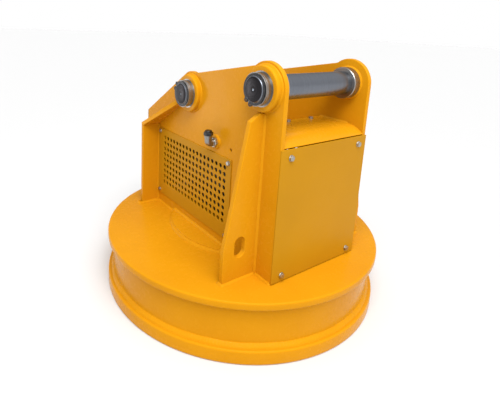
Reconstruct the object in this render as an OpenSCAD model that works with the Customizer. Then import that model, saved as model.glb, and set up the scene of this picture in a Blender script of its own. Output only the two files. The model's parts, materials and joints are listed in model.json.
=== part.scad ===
// Hydraulic lifting magnet for an excavator: a round electromagnet pot under a welded
// two-ear bracket that carries two attachment pins and houses a hydraulic generator set.
// Origin at the centre of the pole faces, +Z up, +X towards the plain front cover.

/* [Magnet pot] */
// Outer diameter of the magnet pot
pot_d = 1200; // [1180:10:1260]
// Height from the pole faces to the top of the yoke plate
pot_h = 240; // [235:1:250]
// Thickness of the yoke plate that closes the pot
yoke_t = 30; // [25:1:35]
// Thickness of the pole ring at the foot of the pot
pole_ring_t = 55; // [50:1:65]
// Depth of the waist between the yoke plate and the pole ring
waist_depth = 26; // [20:1:32]
// Diameter of the centre pole
centre_pole_d = 380; // [340:10:400]
// Diameter of the doubler plate under the bracket
doubler_d = 634; // [600:2:650]
// Thickness of the doubler plate
doubler_t = 15; // [12:1:20]

/* [Bracket] */
// Width across the outer faces of the two ears
bracket_w = 452; // [440:1:460]
// Thickness of each ear
ear_t = 18; // [16:1:22]
// Radius of the rounded lobe around each pin
lobe_r = 93; // [90:1:100]
// Height of the straight top edge above the line through both pins
crest_h = 82; // [76:1:86]
// Distance from the pot's axis to the rear edge of the ears
ear_rear = 500; // [490:1:510]
// Slope of the ears' rear shoulder in degrees
shoulder_slope = 32.7; // [30:0.1:35]
// Thickness of the gusset plates
gusset_t = 20; // [16:1:22]

/* [Pins] */
// Diameter of both attachment pins
pin_d = 90; // [88:1:92]
// Distance of the front pin ahead of the pot's axis
front_pin_x = 357; // [350:1:362]
// Height of the front pin above the pole faces
front_pin_z = 926; // [915:1:940]
// Horizontal distance between the two pins
pin_pitch = 457; // [445:1:465]
// Height of the front pin above the rear pin
pin_rise = 88; // [70:1:100]
// Overall length of each pin
pin_l = 562; // [562:1:580]
// Clear width between the inner ends of the bushes
arm_gap = 344; // [320:1:360]

/* [Enclosure] */
// Height of the flat part of the roof
roof_z = 768; // [760:1:775]
// Height of the rear part of the access lid
lid_z = 640; // [625:1:650]
// Thickness of roof and lid sheet
sheet_t = 8; // [6:1:10]
// Thickness of the bolted end covers
cover_t = 5; // [4:1:6]
// Height of the end covers' bolts above the pole faces, lower row
cover_bolt_low = 268; // [265:1:275]
// Height of the front cover's upper bolts above the pole faces
cover_bolt_high = 704; // [695:1:710]
// Number of grille holes in a row
grille_cols = 18; // [16:1:18]
// Number of rows of grille holes
grille_rows = 9; // [7:1:9]
// Pitch of the grille holes
grille_pitch = 28; // [27:0.5:28]
// Diameter of a grille hole
grille_hole_d = 18; // [14:1:20]

/* [Power pack] */
// Height of the generator shaft above the pole faces
shaft_z = 430; // [425:1:440]
// Outer radius of the generator housing
generator_r = 125; // [120:1:128]
// Blades on the cooling fan
fan_blades = 9; // [7:1:11]
// Teeth on each gear of the hydraulic motor, an even number
gear_teeth = 12; // [10:2:14]

/* [Hidden] */
$fn = 96;
eps = 0.01;
cut = 1;

paint = [0.96, 0.62, 0.07];
cover_paint = [0.86, 0.62, 0.08];
steel = [0.62, 0.63, 0.65];
dark_steel = [0.28, 0.29, 0.31];
zinc = [0.80, 0.80, 0.78];
copper = [0.72, 0.42, 0.25];
resin = [0.30, 0.14, 0.08];
rubber = [0.08, 0.08, 0.08];
cast = [0.42, 0.45, 0.48];
spider_red = [0.75, 0.15, 0.10];

pot_r = pot_d / 2;
wall_out_r = pot_r - waist_depth;
pot_wall_t = 69;
wall_in_r = wall_out_r - pot_wall_t;
yoke_z = pot_h - yoke_t;
centre_r = centre_pole_d / 2;
former_t = 6;
coil_low = 46;
coil_high = 186;
wear_low = 12;
wear_t = 20;
rim_f = 7;

ear_out = bracket_w / 2;
ear_in = ear_out - ear_t;
front_pin_at = [front_pin_x, front_pin_z];
rear_pin_at = [front_pin_x - pin_pitch, front_pin_z - pin_rise];
ear_front = front_pin_x + lobe_r;
pin_line = atan2(pin_rise, pin_pitch);
function normal_to(a) = [-sin(a), cos(a)];
shoulder_top = rear_pin_at + lobe_r * normal_to(shoulder_slope);
shoulder_z = shoulder_top[1] - (shoulder_top[0] + ear_rear) * tan(shoulder_slope);

pin_r = pin_d / 2;
groove_r = pin_r - 2;
bush_r = pin_r + 16;
bush_nose_r = pin_r + 11;
ring_r = 80;
ring_out = ear_out + 22;
bush_out = ring_out + 16.5;
washer_in = bush_out + 0.5;
washer_t = 9;
clip_in = washer_in + washer_t + 0.5;
clip_t = 3;

front_gusset_x = 346;
front_slot = [303, 368];
slot_w = 46;
slot_h = 78;
rear_gusset_x = -400;
flange_foot_z = 641;
doubler_top = pot_h + doubler_t;
doubler_r = doubler_d / 2;

roof_bend_r = 100;
roof_bend = 45;
roof_rear = 238;
cover_top = 735;
cover_low = pot_h + 4;
cover_bolt_y = ear_out - 46;
frame_w = 30;
frame_top = lid_z - sheet_t;
rear_bolt_high = frame_top - frame_w / 2;
cover_bolt = 12;
lid_bolt = 10;
lid_bolt_y = [-130, 0, 130];
lid_bolt_x = [roof_rear + 20, frame_w / 2 - ear_rear];
lid_slope = 20;
lid_knee = roof_rear - (roof_z - sheet_t - lid_z) / tan(lid_slope);

grille_x0 = -314;
grille_z0 = 362;
grille_x1 = grille_x0 + (grille_cols - 1) * grille_pitch;
grille_z1 = grille_z0 + (grille_rows - 1) * grille_pitch;
grille_t = 4;
grille_bolt = 10;
grille_screw_x = [-358, 186];
grille_screw_z = [308, 610];
grille_edge = 16;
window_edge = 10;

port_x = 95;
port_z = 672;
port_r = 12;
pipe_bore = 8;
clip_hole = [189, 663];
clip_hole_r = 6;
boss_face = ear_out + 8;
adapter_face = boss_face + 14;
elbow_y = adapter_face + 18;
elbow_rise = 32;
valve_top = shaft_z + 142;

tray_t = 8;
tray_x = [-345, 418];
tray_w = 370;
tray_top = doubler_top + tray_t;
mount_h = 22;
housing_x = [-290, 10];
housing_r = generator_r - 17;
bell_t = 14;
shaft_r = 20;
journal_r = 15;
bearing_r = 35;
mount_y = 85;
core_x = [-230, -50];
rotor_r = 69.5;
fan_x = -342;
coupling_x = 28;
hub_l = 24;
jaw_l = 20;
hub_r = 42;
motor_x = 104;
motor_flange_t = 20;
gear_x = motor_x + 32;
gear_w = 56;
drive_shaft_r = 14;
idler_shaft_r = 12;
gear_module = 4.5;
gear_pitch_r = gear_module * gear_teeth / 2;
idler_z = shaft_z - 2 * gear_pitch_r;
box_x = [272, 412];
box_y = 140;
box_top = 470;
lead_x = 340;
lead_r = 12;

// Radius of a tapped hole and of a clearance hole for a bolt of diameter d
function tapped_r(d) = d / 2 - 0.3;
function clear_r(d) = d / 2 + 0.4;

// A washer-shaped ring standing on z = 0
module ring(r_out, r_in, h) {
    difference() {
        cylinder(r = r_out, h = h);
        translate([0, 0, -cut]) cylinder(r = r_in, h = h + 2 * cut);
    }
}

// Half section of a plate with both outer corners rounded
module rounded_section(r_in, r_out, h, f) {
    translate([r_in, 0]) square([r_out - f - r_in, h]);
    translate([r_in, f]) square([r_out - r_in, h - 2 * f]);
    for (z = [f, h - f]) translate([r_out - f, z]) circle(f);
}

// Lay a shape that stands along Z along X or along Y
module along_x(x, y = 0, z = 0) { translate([x, y, z]) rotate([0, 90, 0]) children(); }
module along_y(x, y, z) { translate([x, y, z]) rotate([-90, 0, 0]) children(); }

// Extrude an XZ outline from y0 to y1
module slab_y(y0, y1) { translate([0, y1, 0]) rotate([90, 0, 0]) linear_extrude(y1 - y0) children(); }

// The same piece on the near and the far side
module both_sides() {
    children();
    mirror([0, 1, 0]) children();
}

// A hexagon-head bolt with a washer, its bearing face at z = 0 and its shank below
module hex_bolt(d, shank) {
    cylinder(r = d * 1.05, h = d * 0.2);
    translate([0, 0, d * 0.2 - eps]) cylinder(r = d * 0.95, h = d * 0.65, $fn = 6);
    translate([0, 0, -shank]) cylinder(r = tapped_r(d), h = shank + eps);
}

// ---------- magnet pot ----------

module top_plate() {
    color(paint) difference() {
        translate([0, 0, yoke_z]) rotate_extrude() rounded_section(0, pot_r, yoke_t, rim_f);
        translate([lead_x, 0, yoke_z - cut]) cylinder(r = lead_r, h = yoke_t + 2 * cut);
    }
}

module pot_wall() {
    color(paint) translate([0, 0, pole_ring_t]) ring(wall_out_r, wall_in_r, yoke_z - pole_ring_t);
}

module pole_ring() {
    color(paint) rotate_extrude() rounded_section(wall_in_r, pot_r, pole_ring_t, rim_f);
}

module centre_pole() {
    color(steel) {
        cylinder(r = centre_r, h = yoke_z);
        translate([0, 0, wear_low + wear_t])
            cylinder(r = centre_r + 14, h = coil_low - former_t - wear_low - wear_t);
    }
}

module coil_former() {
    inner = centre_r + 8;
    color(resin) {
        translate([0, 0, coil_low]) ring(inner + former_t, inner, coil_high - coil_low);
        for (z = [coil_low - former_t, coil_high]) translate([0, 0, z])
            ring(wall_in_r - 8, inner, former_t);
    }
}

module coil_winding() {
    color(copper) translate([0, 0, coil_low])
        ring(wall_in_r - 16, centre_r + 8 + former_t, coil_high - coil_low);
}

module coil_potting() {
    low = coil_low - former_t;
    high = coil_high + former_t;
    color(resin) difference() {
        union() {
            translate([0, 0, low]) ring(wall_in_r, wall_in_r - 8, yoke_z - low);
            translate([0, 0, high]) ring(wall_in_r, centre_r, yoke_z - high);
        }
        translate([lead_x, 0, high - cut]) cylinder(r = lead_r, h = yoke_z);
    }
}

module wear_plate() {
    color(dark_steel) translate([0, 0, wear_low]) ring(wall_in_r, centre_r, wear_t);
}

module doubler_plate() {
    color(paint) translate([0, 0, pot_h]) cylinder(r = doubler_r, h = doubler_t);
}

// ---------- bracket ----------

module ear_outline() {
    polygon([
        [-ear_rear, pot_h],
        [ear_front, pot_h],
        [ear_front, front_pin_z],
        front_pin_at + crest_h * normal_to(pin_line),
        rear_pin_at + crest_h * normal_to(pin_line),
        shoulder_top,
        [-ear_rear, shoulder_z]
    ]);
    for (p = [front_pin_at, rear_pin_at]) translate(p) circle(lobe_r);
}

// Everything that is cut through one ear, drawn for the near side
module ear_cuts() {
    for (p = [front_pin_at, rear_pin_at]) along_y(p[0], -ear_out - cut, p[1])
        cylinder(r = bush_r, h = ear_t + 2 * cut);
    slab_y(-ear_out - cut, -ear_in + cut) translate([grille_x0, grille_z0] - [window_edge, window_edge])
        square([grille_x1 - grille_x0, grille_z1 - grille_z0] + 2 * [window_edge, window_edge]);
    for (x = grille_screw_x, z = grille_screw_z) along_y(x, -ear_out - cut, z)
        cylinder(r = tapped_r(grille_bolt), h = 15);
    along_y(port_x, -ear_out - cut, port_z) cylinder(r = port_r, h = ear_t + 2 * cut);
    along_y(clip_hole[0], -ear_out - cut, clip_hole[1]) cylinder(r = clip_hole_r, h = ear_t + 2 * cut);
    translate([0, 0, pot_h - cut]) cylinder(r = doubler_r, h = doubler_t + cut);
}

module ear() {
    color(paint) difference() {
        slab_y(-ear_out, -ear_in) ear_outline();
        ear_cuts();
    }
}

module ear_near() { ear(); }
module ear_far() { mirror([0, 1, 0]) ear(); }

// Stiffener across the front of the ear, seen along X: y is the distance from the mid plane
module front_gusset() {
    reach = 148;
    straight = slot_h - slot_w;
    color(paint) difference() {
        translate([front_gusset_x, 0, 0]) rotate([90, 0, 90]) linear_extrude(gusset_t) polygon([
            [-ear_out, pot_h],
            [-ear_out - reach, pot_h],
            [-ear_out - reach, pot_h + 130],
            [-ear_out - 62, front_pin_z - 108],
            [-ear_out - 22, front_pin_z - 83],
            [-ear_out, front_pin_z - 81]
        ]);
        translate([front_gusset_x - cut, -front_slot[0], front_slot[1]]) {
            for (z = [-straight, straight]) along_x(0, 0, z / 2)
                cylinder(r = slot_w / 2, h = gusset_t + 2 * cut);
            translate([0, -slot_w / 2, -straight / 2]) cube([gusset_t + 2 * cut, slot_w, straight]);
        }
    }
}

module front_gusset_near() { front_gusset(); }
module front_gusset_far() { mirror([0, 1, 0]) front_gusset(); }

// Upright stiffener whose upper part folds forward along the ear's shoulder and narrows to the pin
module rear_gusset() {
    foot = [rear_gusset_x + gusset_t, flange_foot_z];
    reach = (rear_pin_at[0] - foot[0]) / cos(shoulder_slope);
    run = reach * [cos(shoulder_slope), sin(shoulder_slope)];
    rise = gusset_t * normal_to(shoulder_slope);
    bend_z = flange_foot_z + gusset_t * (1 - sin(shoulder_slope)) / cos(shoulder_slope);
    width = 104;
    lean = 2.2;
    taper = 12.9;
    foot_y = -ear_out - width + (flange_foot_z - pot_h) * tan(lean);
    color(paint) difference() {
        slab_y(-ear_out - width, -ear_out) polygon([
            [rear_gusset_x, pot_h],
            [foot[0], pot_h],
            foot,
            foot + run,
            foot + run + rise,
            [rear_gusset_x, bend_z]
        ]);
        along_y(rear_pin_at[0], -ear_out - width - cut, rear_pin_at[1])
            cylinder(r = ring_r + 4, h = width + 2 * cut);
        translate([-ear_rear, -ear_out - width, pot_h]) rotate([-lean, 0, 0])
            translate([0, -60, -20]) cube([600, 60, 800]);
        translate([foot[0], foot_y, flange_foot_z]) rotate([0, -shoulder_slope, 0])
            rotate([0, 0, taper]) translate([0, -90, -gusset_t]) cube([500, 90, 3 * gusset_t]);
    }
}

module rear_gusset_near() { rear_gusset(); }
module rear_gusset_far() { mirror([0, 1, 0]) rear_gusset(); }

module boss_rings() {
    h = ring_out - ear_out;
    f = 6;
    color(paint) both_sides() for (p = [front_pin_at, rear_pin_at])
        translate([p[0], -ear_out, p[1]]) rotate([90, 0, 0]) rotate_extrude() {
            translate([bush_r, 0]) square([ring_r - bush_r, h - f]);
            translate([bush_r, 0]) square([ring_r - bush_r - f, h]);
            translate([ring_r - f, h - f]) circle(f);
        }
}

module pin_bushes() {
    bore_r = pin_r + 0.05;
    color(steel) both_sides() for (p = [front_pin_at, rear_pin_at])
        translate([p[0], -arm_gap / 2, p[1]]) rotate([90, 0, 0]) difference() {
            union() {
                cylinder(r = bush_r, h = ring_out - arm_gap / 2);
                cylinder(r = bush_nose_r, h = bush_out - arm_gap / 2);
            }
            translate([0, 0, -cut]) cylinder(r = bore_r, h = 200);
        }
}

// ---------- attachment pins ----------

module attachment_pin(p) {
    groove = clip_t + 0.2;
    end = pin_l / 2;
    c = 4;
    color(dark_steel) translate([p[0], 0, p[1]]) rotate([90, 0, 0]) rotate_extrude() difference() {
        polygon([
            [0, -end],
            [pin_r - c, -end],
            [pin_r, c - end],
            [pin_r, end - c],
            [pin_r - c, end],
            [0, end]
        ]);
        for (s = [-1, 1]) translate([groove_r, s * (clip_in + clip_t / 2) - groove / 2])
            square([5, groove]);
    }
}

module thrust_washers(p) {
    color(steel) both_sides() translate([p[0], -washer_in, p[1]]) rotate([90, 0, 0])
        ring(bush_nose_r + 1, pin_r, washer_t);
}

// Open snap ring with two eyelets for the pliers, its opening turned to the angle a
module circlips(p, a) {
    lug_r = pin_r + 12;
    lug_turn = 13;
    opening = 8;
    color(dark_steel) both_sides() translate([p[0], -clip_in, p[1]]) rotate([90, 0, 0]) difference() {
        union() {
            cylinder(r = pin_r + 8.5, h = clip_t);
            for (s = [-1, 1]) rotate([0, 0, a + s * lug_turn]) translate([lug_r - 3, 0, 0])
                cylinder(r = 9, h = clip_t);
        }
        translate([0, 0, -cut]) cylinder(r = groove_r, h = clip_t + 2 * cut);
        rotate([0, 0, a]) translate([20, -opening / 2, -cut]) cube([60, opening, clip_t + 2 * cut]);
        for (s = [-1, 1]) rotate([0, 0, a + s * lug_turn]) translate([lug_r, 0, -cut])
            cylinder(r = 2.8, h = clip_t + 2 * cut);
    }
}

module front_pin() { attachment_pin(front_pin_at); }
module front_pin_washers() { thrust_washers(front_pin_at); }
module front_pin_circlips() { circlips(front_pin_at, 240); }
module rear_pin() { attachment_pin(rear_pin_at); }
module rear_pin_washers() { thrust_washers(rear_pin_at); }
module rear_pin_circlips() { circlips(rear_pin_at, 150); }

// ---------- enclosure ----------

// Flat roof sheet that rolls down towards the front cover
module roof_plate() {
    bend_x = ear_front - roof_bend_r * sin(roof_bend);
    bend_z = roof_z - roof_bend_r;
    far = 2 * roof_bend_r;
    color(paint) difference() {
        union() {
            slab_y(-ear_in, ear_in) translate([roof_rear, roof_z - sheet_t])
                square([bend_x - roof_rear, sheet_t]);
            translate([bend_x, 0, bend_z]) slab_y(-ear_in, ear_in) difference() {
                circle(roof_bend_r);
                circle(roof_bend_r - sheet_t);
                translate([-far, -far]) square([far, 2 * far]);
                rotate(90 - roof_bend) translate([-far, -far]) square([2 * far, far]);
            }
        }
        for (y = lid_bolt_y) translate([lid_bolt_x[0], y, roof_z - 20])
            cylinder(r = clear_r(lid_bolt), h = 40);
    }
}

// Bolted lid: a flange under the roof, a slope down and a flat rear part
module access_lid() {
    top = roof_z - sheet_t;
    flange = 40;
    mitre = sheet_t * tan(lid_slope / 2);
    color(paint) difference() {
        slab_y(-ear_in + 2, ear_in - 2) polygon([
            [roof_rear + flange, top],
            [roof_rear, top],
            [lid_knee, lid_z],
            [-ear_rear, lid_z],
            [-ear_rear, lid_z - sheet_t],
            [lid_knee + mitre, lid_z - sheet_t],
            [roof_rear + mitre, top - sheet_t],
            [roof_rear + flange, top - sheet_t]
        ]);
        for (x = lid_bolt_x, y = lid_bolt_y) translate([x, y, lid_z - 20])
            cylinder(r = clear_r(lid_bolt), h = roof_z - lid_z + 40);
    }
}

module lid_bolts() {
    color(zinc) for (y = lid_bolt_y) {
        translate([lid_bolt_x[0], y, roof_z]) hex_bolt(lid_bolt, 2 * sheet_t + 6);
        translate([lid_bolt_x[1], y, lid_z]) hex_bolt(lid_bolt, sheet_t + 12);
    }
}

// Square bars welded inside the ears, tapped for the cover and lid bolts
module cover_frames() {
    bar = 40;
    depth = 26;
    color(paint) difference() {
        union() {
            both_sides() {
                translate([ear_front - frame_w, -ear_in, pot_h])
                    cube([frame_w, bar, cover_top - pot_h - 12]);
                translate([-ear_rear, -ear_in, pot_h]) cube([frame_w, bar, frame_top - pot_h - frame_w]);
            }
            translate([-ear_rear, -ear_in, frame_top - frame_w]) cube([frame_w, 2 * ear_in, frame_w]);
        }
        both_sides() {
            for (z = [cover_bolt_low, cover_bolt_high])
                along_x(ear_front - depth, -cover_bolt_y, z) cylinder(r = tapped_r(cover_bolt), h = 40);
            for (z = [cover_bolt_low, rear_bolt_high])
                along_x(-ear_rear - cut, -cover_bolt_y, z) cylinder(r = tapped_r(cover_bolt), h = depth);
        }
        for (y = lid_bolt_y) translate([lid_bolt_x[1], y, frame_top - 20])
            cylinder(r = tapped_r(lid_bolt), h = 40);
    }
}

module front_cover() {
    color(cover_paint) difference() {
        translate([ear_front, -ear_out, cover_low]) cube([cover_t, bracket_w, cover_top - cover_low]);
        for (y = [-1, 1], z = [cover_bolt_low, cover_bolt_high])
            along_x(ear_front - cut, y * cover_bolt_y, z)
                cylinder(r = clear_r(cover_bolt), h = cover_t + 2 * cut);
    }
}

module rear_cover() {
    top = shoulder_z - 4;
    color(cover_paint) difference() {
        translate([-ear_rear - cover_t, -ear_out, cover_low]) cube([cover_t, bracket_w, top - cover_low]);
        for (y = [-1, 1], z = [cover_bolt_low, rear_bolt_high])
            along_x(-ear_rear - cover_t - cut, y * cover_bolt_y, z)
                cylinder(r = clear_r(cover_bolt), h = cover_t + 2 * cut);
    }
}

module cover_bolts() {
    color(zinc) for (y = [-cover_bolt_y, cover_bolt_y]) {
        for (z = [cover_bolt_low, cover_bolt_high])
            along_x(ear_front + cover_t, y, z) hex_bolt(cover_bolt, cover_t + 20);
        for (z = [cover_bolt_low, rear_bolt_high])
            mirror([1, 0, 0]) along_x(ear_rear + cover_t, y, z) hex_bolt(cover_bolt, cover_t + 20);
    }
}

module grille() {
    x0 = grille_screw_x[0] - grille_edge;
    z0 = grille_screw_z[0] - grille_edge;
    w = grille_screw_x[1] - grille_screw_x[0] + 2 * grille_edge;
    h = grille_screw_z[1] - grille_screw_z[0] + 2 * grille_edge;
    color(cover_paint) slab_y(-ear_out - grille_t, -ear_out) difference() {
        translate([x0, z0]) square([w, h]);
        for (i = [0:grille_cols - 1], j = [0:grille_rows - 1])
            translate([grille_x0 + i * grille_pitch, grille_z0 + j * grille_pitch])
                circle(d = grille_hole_d, $fn = 32);
        for (x = grille_screw_x, z = grille_screw_z) translate([x, z]) circle(clear_r(grille_bolt));
    }
}

module grille_near() { grille(); }
module grille_far() { mirror([0, 1, 0]) grille(); }

module grille_screws() {
    color(zinc) both_sides() for (x = grille_screw_x, z = grille_screw_z)
        translate([x, -ear_out - grille_t, z]) rotate([90, 0, 0]) hex_bolt(grille_bolt, grille_t + 10);
}

// ---------- hydraulic ports ----------

module port_bosses() {
    color(paint) both_sides() translate([port_x, -ear_out, port_z]) rotate([90, 0, 0])
        ring(26, port_r, boss_face - ear_out);
}

module port_adapters() {
    color(zinc) both_sides() translate([port_x, -boss_face, port_z]) rotate([90, 0, 0]) difference() {
        union() {
            cylinder(r = 22, h = 10, $fn = 6);
            cylinder(r = 15, h = adapter_face - boss_face);
        }
        translate([0, 0, -cut]) cylinder(r = pipe_bore, h = 60);
    }
}

module port_elbows() {
    color(steel) both_sides() translate([port_x, -adapter_face, port_z]) difference() {
        union() {
            rotate([90, 0, 0]) cylinder(r = 16, h = elbow_y - adapter_face);
            translate([0, adapter_face - elbow_y, 0]) sphere(r = 18);
            translate([0, adapter_face - elbow_y, 0]) cylinder(r = 14, h = elbow_rise);
        }
        translate([0, cut, 0]) rotate([90, 0, 0])
            cylinder(r = pipe_bore, h = elbow_y - adapter_face + cut);
        translate([0, adapter_face - elbow_y, 0]) cylinder(r = pipe_bore, h = 60);
    }
}

module port_caps() {
    color(dark_steel) both_sides() translate([port_x, -elbow_y, port_z + elbow_rise]) {
        cylinder(r = 19, h = 14, $fn = 6);
        translate([0, 0, 14 - eps]) cylinder(r = 14, h = 6);
    }
}

// Steel pipes from the two ports down to the valve block
module hydraulic_pipes() {
    bend = 34;
    drop_y = 30;
    color(steel) both_sides() translate([port_x, 0, 0]) {
        translate([0, -drop_y - bend, port_z]) rotate([90, 0, 0])
            ring(port_r, pipe_bore, ear_out - drop_y - bend);
        translate([0, -drop_y - bend, port_z - bend]) rotate([90, 0, 90]) rotate_extrude(angle = 90)
            translate([bend, 0]) difference() {
                circle(port_r);
                circle(pipe_bore);
            }
        translate([0, -drop_y, valve_top]) ring(port_r, pipe_bore, port_z - bend - valve_top);
    }
}

module valve_block() {
    size = [104, 110, 70];
    low = valve_top - size[2];
    color(steel) difference() {
        translate([port_x - 20, -size[1] / 2, low]) cube(size);
        for (y = [-30, 30]) translate([port_x, y, low + 20]) cylinder(r = pipe_bore, h = 80);
        along_x(port_x + 10, 0, low + size[2] / 2) cylinder(r = 10, h = size[0]);
    }
}

// ---------- power pack ----------

module mounting_tray() {
    color(paint) difference() {
        translate([tray_x[0], -tray_w / 2, doubler_top]) cube([tray_x[1] - tray_x[0], tray_w, tray_t]);
        translate([lead_x, 0, doubler_top - cut]) cylinder(r = lead_r, h = tray_t + 2 * cut);
    }
}

module rubber_mounts() {
    color(rubber) for (x = [-240, -40], y = [-mount_y, mount_y])
        translate([x, y, tray_top]) cylinder(r = 24, h = mount_h);
}

module generator_housing() {
    x0 = housing_x[0];
    l = housing_x[1] - housing_x[0];
    fin_h = 10;
    fin_t = 5;
    foot_z = tray_top + mount_h;
    foot = [l - 40, 50, 12];
    web = [l - 40, 16, 60];
    color(cast) difference() {
        union() {
            along_x(x0, 0, shaft_z) cylinder(r = generator_r - fin_h, h = l);
            for (a = [-120:20:120]) translate([x0, 0, shaft_z]) rotate([a, 0, 0])
                translate([0, -fin_t / 2, generator_r - fin_h - 4]) cube([l, fin_t, fin_h + 4]);
            for (y = [-mount_y, mount_y]) translate([x0 + 20, y - foot[1] / 2, foot_z]) {
                cube(foot);
                translate([0, (foot[1] - web[1]) / 2, 0]) cube(web);
            }
        }
        along_x(x0 - cut, 0, shaft_z) cylinder(r = housing_r, h = l + 2 * cut);
    }
}

module end_bells() {
    color(cast) for (x = [housing_x[0] - bell_t, housing_x[1]]) along_x(x, 0, shaft_z) difference() {
        cylinder(r = generator_r - 4, h = bell_t);
        translate([0, 0, -cut]) cylinder(r = bearing_r, h = bell_t + 2 * cut);
        for (i = [0:5]) rotate([0, 0, 30 + i * 60]) translate([75, 0, -cut])
            cylinder(r = 20, h = bell_t + 2 * cut);
    }
}

module generator_stator() {
    end_l = 28;
    color(steel) along_x(core_x[0], 0, shaft_z) ring(housing_r, rotor_r + 1.5, core_x[1] - core_x[0]);
    color(copper) for (x = [core_x[0] - end_l, core_x[1]])
        along_x(x, 0, shaft_z) ring(housing_r - 8, rotor_r + 6.5, end_l);
}

module generator_rotor() {
    end_l = 14;
    color(dark_steel) along_x(core_x[0], 0, shaft_z) ring(rotor_r, shaft_r, core_x[1] - core_x[0]);
    color(copper) for (x = [core_x[0] - end_l, core_x[1]]) along_x(x, 0, shaft_z)
        ring(rotor_r - 7.5, shaft_r, end_l);
}

module generator_shaft() {
    thick = [-250, -30];
    color(steel) {
        along_x(thick[0], 0, shaft_z) cylinder(r = shaft_r, h = thick[1] - thick[0]);
        along_x(fan_x - 4, 0, shaft_z) cylinder(r = journal_r, h = thick[0] - fan_x + 4 + eps);
        along_x(thick[1] - eps, 0, shaft_z) cylinder(r = journal_r, h = coupling_x + hub_l - thick[1]);
    }
}

module generator_bearings() {
    color(zinc) for (x = [housing_x[0] - bell_t, housing_x[1]])
        along_x(x, 0, shaft_z) ring(bearing_r, journal_r + 0.05, bell_t);
}

module cooling_fan() {
    boss_l = 26;
    pitch = 32;
    blade = [82, 34, 3];
    color(cast) along_x(fan_x, 0, shaft_z) difference() {
        union() {
            cylinder(r = 30, h = boss_l);
            for (i = [0:fan_blades - 1]) rotate([0, 0, i * 360 / fan_blades])
                translate([20, 0, boss_l / 2]) rotate([pitch, 0, 0])
                    translate([0, -blade[1] / 2, -blade[2] / 2]) cube(blade);
        }
        translate([0, 0, -cut]) cylinder(r = journal_r, h = boss_l + 2 * cut);
    }
}

module fan_cowl() {
    depth = 58;
    wall = 3;
    color(dark_steel) along_x(housing_x[0] - bell_t - depth, 0, shaft_z) difference() {
        cylinder(r = generator_r - 4, h = depth);
        translate([0, 0, wall]) cylinder(r = generator_r - 4 - wall, h = depth);
        for (r = [44, 72, 98], i = [0:11]) rotate([0, 0, i * 30]) translate([r, 0, -cut])
            cylinder(r = r / 9, h = 6);
    }
}

module bell_housing() {
    x0 = housing_x[1] + bell_t;
    l = motor_x - x0;
    color(cast) along_x(x0, 0, shaft_z) difference() {
        union() {
            cylinder(r = 66, h = l);
            cylinder(r = 90, h = 10);
            translate([0, 0, l - 10]) cylinder(r = 70, h = 10);
        }
        translate([0, 0, -cut]) cylinder(r = 54, h = l + 2 * cut);
        translate([0, -30, l / 2 - 18]) cube([100, 60, 36]);
    }
}

// A sector of a ring about Z, centred on the X axis
module sector(r_in, r_out, angle, h) {
    rotate([0, 0, -angle / 2]) rotate_extrude(angle = angle) translate([r_in, 0])
        square([r_out - r_in, h]);
}

module jaws(z, l) {
    for (i = [0:2]) rotate([0, 0, i * 120]) translate([0, 0, z - 1]) sector(20, 40, 38, l + 1);
}

// Two three-jaw hubs facing each other with the jaws interleaved
module coupling_hubs() {
    far_x = coupling_x + 2 * hub_l + jaw_l + 4;
    color(steel) {
        along_x(coupling_x, 0, shaft_z) {
            ring(hub_r, journal_r, hub_l);
            jaws(hub_l, jaw_l);
        }
        translate([far_x, 0, shaft_z]) rotate([0, -90, 0]) {
            ring(hub_r, drive_shaft_r, hub_l);
            jaws(hub_l, jaw_l);
        }
    }
}

module coupling_spider() {
    t = jaw_l - 4;
    color(spider_red) along_x(coupling_x + hub_l + 2, 0, shaft_z) {
        cylinder(r = 18, h = t);
        for (i = [0:5]) rotate([0, 0, 30 + i * 60]) sector(17, 39, 22, t);
    }
}

// The driving gear's axis and the idler's axis below it
module gear_axes() {
    for (z = [shaft_z, idler_z]) translate([0, 0, z]) children();
}

module motor_casing() {
    body_x = motor_x + motor_flange_t;
    low = idler_z - 44;
    high = valve_top - 70;
    color(cast) difference() {
        union() {
            translate([motor_x, -65, low]) cube([motor_flange_t, 130, high - low]);
            translate([body_x, -52, low]) cube([104, 104, high - low]);
        }
        along_x(motor_x - cut, 0, shaft_z) cylinder(r = drive_shaft_r + 0.05, h = 118);
        gear_axes() along_x(gear_x - 2, 0, 0)
            cylinder(r = gear_pitch_r + gear_module + 0.5, h = gear_w + 4);
        along_x(gear_x - 18, 0, idler_z) cylinder(r = idler_shaft_r + 0.05, h = 96);
    }
}

// Straight-flanked spur gear standing on z = 0
module spur_gear(h) {
    root = gear_pitch_r - 1.2 * gear_module;
    tip = gear_pitch_r + 0.9 * gear_module;
    pitch_w = gear_module * 1.35;
    cylinder(r = root, h = h);
    for (i = [0:gear_teeth - 1]) rotate([0, 0, i * 360 / gear_teeth]) linear_extrude(h) polygon([
        [root - 2, -pitch_w * 0.75],
        [tip, -pitch_w * 0.3],
        [tip, pitch_w * 0.3],
        [root - 2, pitch_w * 0.75]
    ]);
}

module motor_drive_gear() {
    low = coupling_x + 2 * hub_l;
    color(steel) {
        along_x(low, 0, shaft_z) cylinder(r = drive_shaft_r, h = gear_x - low + eps);
        along_x(gear_x, 0, shaft_z) spur_gear(gear_w);
        along_x(gear_x + gear_w - eps, 0, shaft_z) cylinder(r = drive_shaft_r, h = 28);
    }
}

module motor_idler_gear() {
    stub = 14;
    color(steel) {
        along_x(gear_x - stub, 0, idler_z) cylinder(r = idler_shaft_r, h = stub + eps);
        along_x(gear_x, 0, idler_z) rotate([0, 0, 180 / gear_teeth]) spur_gear(gear_w);
        along_x(gear_x + gear_w - eps, 0, idler_z) cylinder(r = idler_shaft_r, h = 18);
    }
}

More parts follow.
